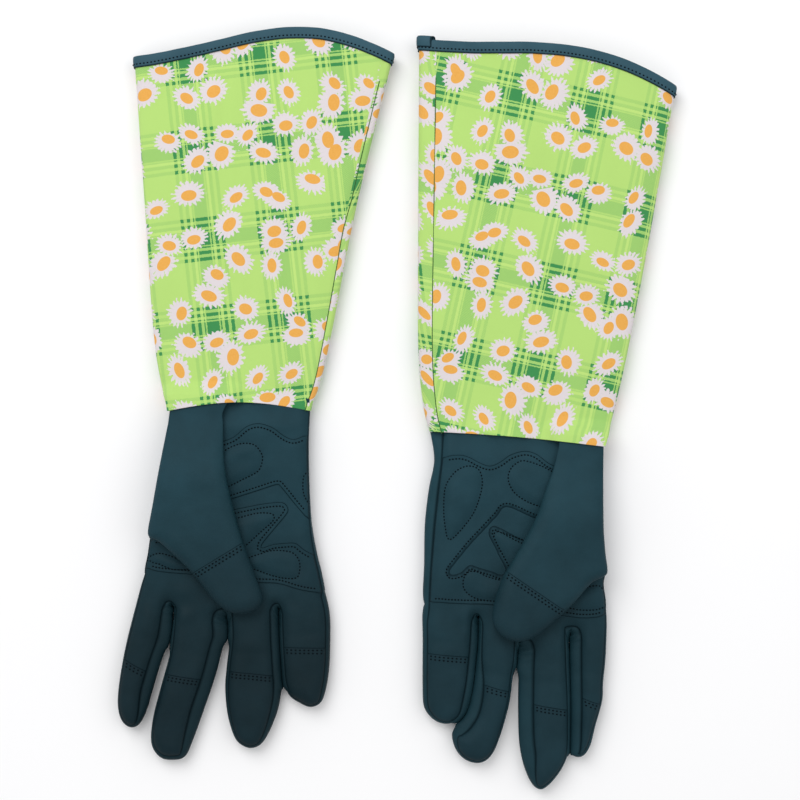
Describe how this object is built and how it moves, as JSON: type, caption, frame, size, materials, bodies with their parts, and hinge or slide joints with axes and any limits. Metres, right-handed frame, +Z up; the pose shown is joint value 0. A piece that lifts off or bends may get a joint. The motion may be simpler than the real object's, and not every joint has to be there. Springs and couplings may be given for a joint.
{
  "type": "gardening gloves",
  "caption": "Long-cuffed gardening gloves lying palms up, with synthetic leather hands, stitched palm patches, folded thumbs and flared floral cotton cuffs.",
  "frame": {"origin": "on the table, under the middle of the box round the pair", "axes": "+Z up from the table; +Y from the fingertips towards the cuffs; +X from the right glove to the left glove"},
  "size_m": [0.3597, 0.4884, 0.0316],
  "materials": {
    "teal_leather": "matte synthetic leather, fine grain",
    "dark_leather": "matte synthetic leather, darker",
    "teal_binding": "matte folded strip",
    "printed_cotton": "plain woven cotton, printed with plaid and daisies",
    "padding": "hidden foam padding",
    "elastic": "woven elastic band",
    "thread": "polyester sewing thread"
  },
  "bodies": {
    "right_hand": {"right_wrist_elastic": "elastic", "right_palm_panel": "teal_leather", "right_back_panel": "teal_leather", "right_fourchettes": "dark_leather", "right_palm_patch": "dark_leather", "right_ulnar_heel_pad": "padding", "right_thumb_heel_pad": "padding", "right_palm_pads": "padding"},
    "right_cuff": {"right_cuff_sleeve": "printed_cotton", "right_cuff_binding": "teal_binding"},
    "right_thumb": {"right_thumb_outer_panel": "teal_leather", "right_thumb_inner_panel": "teal_leather", "right_thumb_tip_patch": "dark_leather"},
    "right_index_finger": {"right_index_front_panel": "teal_leather", "right_index_back_panel": "teal_leather", "right_index_side_wall": "dark_leather", "right_index_tip_patch": "dark_leather"},
    "right_middle_finger": {"right_middle_front_panel": "teal_leather", "right_middle_back_panel": "teal_leather", "right_middle_side_wall": "dark_leather", "right_middle_tip_patch": "dark_leather"},
    "right_ring_finger": {"right_ring_front_panel": "teal_leather", "right_ring_back_panel": "teal_leather", "right_ring_side_wall": "dark_leather", "right_ring_tip_patch": "dark_leather"},
    "right_little_finger": {"right_little_front_panel": "teal_leather", "right_little_back_panel": "teal_leather", "right_little_side_wall": "dark_leather", "right_little_tip_patch": "dark_leather"},
    "left_hand": {"left_wrist_elastic": "elastic", "left_palm_panel": "teal_leather", "left_back_panel": "teal_leather", "left_fourchettes": "dark_leather", "left_palm_patch": "dark_leather", "left_ulnar_heel_pad": "padding", "left_thumb_heel_pad": "padding", "left_palm_pads": "padding"},
    "left_cuff": {"left_cuff_sleeve": "printed_cotton", "left_cuff_binding": "teal_binding"},
    "left_thumb": {"left_thumb_outer_panel": "teal_leather", "left_thumb_inner_panel": "teal_leather", "left_thumb_tip_patch": "dark_leather"},
    "left_index_finger": {"left_index_front_panel": "teal_leather", "left_index_back_panel": "teal_leather", "left_index_side_wall": "dark_leather", "left_index_tip_patch": "dark_leather"},
    "left_middle_finger": {"left_middle_front_panel": "teal_leather", "left_middle_back_panel": "teal_leather", "left_middle_side_wall": "dark_leather", "left_middle_tip_patch": "dark_leather"},
    "left_ring_finger": {"left_ring_front_panel": "teal_leather", "left_ring_back_panel": "teal_leather", "left_ring_side_wall": "dark_leather", "left_ring_tip_patch": "dark_leather"},
    "left_little_finger": {"left_little_front_panel": "teal_leather", "left_little_back_panel": "teal_leather", "left_little_side_wall": "dark_leather", "left_little_tip_patch": "dark_leather"}
  },
  "joints": [
    {"name": "right_wrist_bend", "type": "hinge", "parent": "right_hand", "child": "right_cuff", "pos_m": [-0.10125, 0.0006, 0.0155], "axis": [1, 0, 0], "range_deg": [0, 75]},
    {"name": "right_thumb_open", "type": "hinge", "parent": "right_hand", "child": "right_thumb", "pos_m": [-0.152, -0.03955, 0.0177], "axis": [-0.1773, -0.9842, 0], "range_deg": [0, 140]},
    {"name": "right_index_curl", "type": "hinge", "parent": "right_hand", "child": "right_index_finger", "pos_m": [-0.161, -0.1467, 0.0153], "axis": [-0.9859, 0.1676, 0], "range_deg": [0, 85]},
    {"name": "right_middle_curl", "type": "hinge", "parent": "right_hand", "child": "right_middle_finger", "pos_m": [-0.133, -0.1567, 0.0153], "axis": [-0.9806, 0.1961, 0], "range_deg": [0, 85]},
    {"name": "right_ring_curl", "type": "hinge", "parent": "right_hand", "child": "right_ring_finger", "pos_m": [-0.0925, -0.1567, 0.0153], "axis": [-1, 0, 0], "range_deg": [0, 85]},
    {"name": "right_little_curl", "type": "hinge", "parent": "right_hand", "child": "right_little_finger", "pos_m": [-0.0595, -0.1447, 0.0153], "axis": [-0.9976, -0.0698, 0], "range_deg": [0, 85]},
    {"name": "left_wrist_bend", "type": "hinge", "parent": "left_hand", "child": "left_cuff", "pos_m": [0.0763, -0.01965, 0.0155], "axis": [0.9964, -0.0853, 0], "range_deg": [0, 75]},
    {"name": "left_thumb_open", "type": "hinge", "parent": "left_hand", "child": "left_thumb", "pos_m": [0.13155, -0.0642, 0.0177], "axis": [-0.0187, 0.9998, 0], "range_deg": [0, 140]},
    {"name": "left_index_curl", "type": "hinge", "parent": "left_hand", "child": "left_index_finger", "pos_m": [0.1223, -0.1692, 0.0153], "axis": [-0.995, 0.0995, 0], "range_deg": [0, 85]},
    {"name": "left_middle_curl", "type": "hinge", "parent": "left_hand", "child": "left_middle_finger", "pos_m": [0.0938, -0.1752, 0.0153], "axis": [-0.9992, 0.04, 0], "range_deg": [0, 85]},
    {"name": "left_ring_curl", "type": "hinge", "parent": "left_hand", "child": "left_ring_finger", "pos_m": [0.0628, -0.1702, 0.0153], "axis": [-0.9889, 0.1483, 0], "range_deg": [0, 85]},
    {"name": "left_little_curl", "type": "hinge", "parent": "left_hand", "child": "left_little_finger", "pos_m": [0.0333, -0.1502, 0.0153], "axis": [-0.9988, 0.0499, 0], "range_deg": [0, 85]},
    {"name": "left_glove_lift", "type": "slide", "parent": "right_hand", "child": "left_hand", "axis": [0, 0, 1], "range_m": [0, 0.15]}
  ]
}
